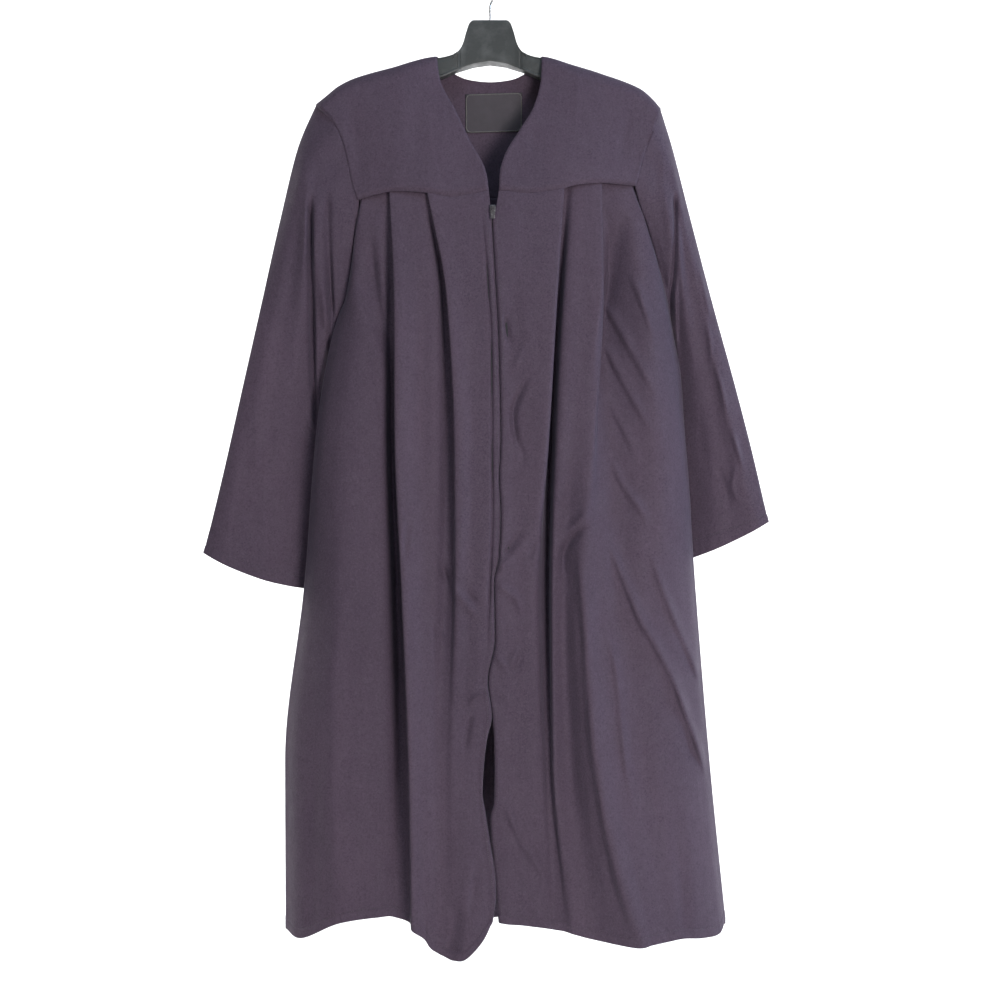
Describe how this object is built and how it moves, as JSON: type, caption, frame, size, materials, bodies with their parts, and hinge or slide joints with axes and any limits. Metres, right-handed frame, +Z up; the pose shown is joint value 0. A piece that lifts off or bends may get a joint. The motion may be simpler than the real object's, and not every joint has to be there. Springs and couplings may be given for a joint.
{
  "type": "graduation gown on a hanger",
  "caption": "Zip-front pleated graduation gown with a V neck and open bell sleeves, hanging from a plain contoured hanger with a steel hook.",
  "frame": {"origin": "the inner top of the hanger's hook, where it rests on a rail", "axes": "+Z up; the gown's front faces -Y; +X is the viewer's right when facing the front, the wearer's left"},
  "size_m": [0.8209, 0.1913, 1.4192],
  "materials": {
    "cloth": "faded black polyester, matt with a slight sheen",
    "zip_tape": "black woven tape",
    "zip_teeth": "black moulded coil",
    "zip_metal": "grey enamelled metal, worn",
    "label": "bare woven label",
    "hanger_plastic": "black moulded plastic, dusty",
    "hook_steel": "plated steel wire"
  },
  "bodies": {
    "gown": {"yoke_front_left": "cloth", "yoke_front_right": "cloth", "yoke_back": "cloth", "front_left": "cloth", "front_right": "cloth", "back": "cloth", "sleeve_left": "cloth", "sleeve_right": "cloth", "zip_tape_left": "zip_tape", "zip_tape_right": "zip_tape", "zip_chain": "zip_teeth", "zip_slider": "zip_metal", "neck_label": "label", "hanger_body": "hanger_plastic", "hanger_hook": "hook_steel"},
    "pull_tab": {"zip_pull": "zip_metal"}
  },
  "joints": [
    {"name": "pull_hinge", "type": "hinge", "parent": "gown", "child": "pull_tab", "pos_m": [0.0042, -0.0553, -0.3562], "axis": [-1, 0, 0], "range_deg": [0, 170]}
  ]
}
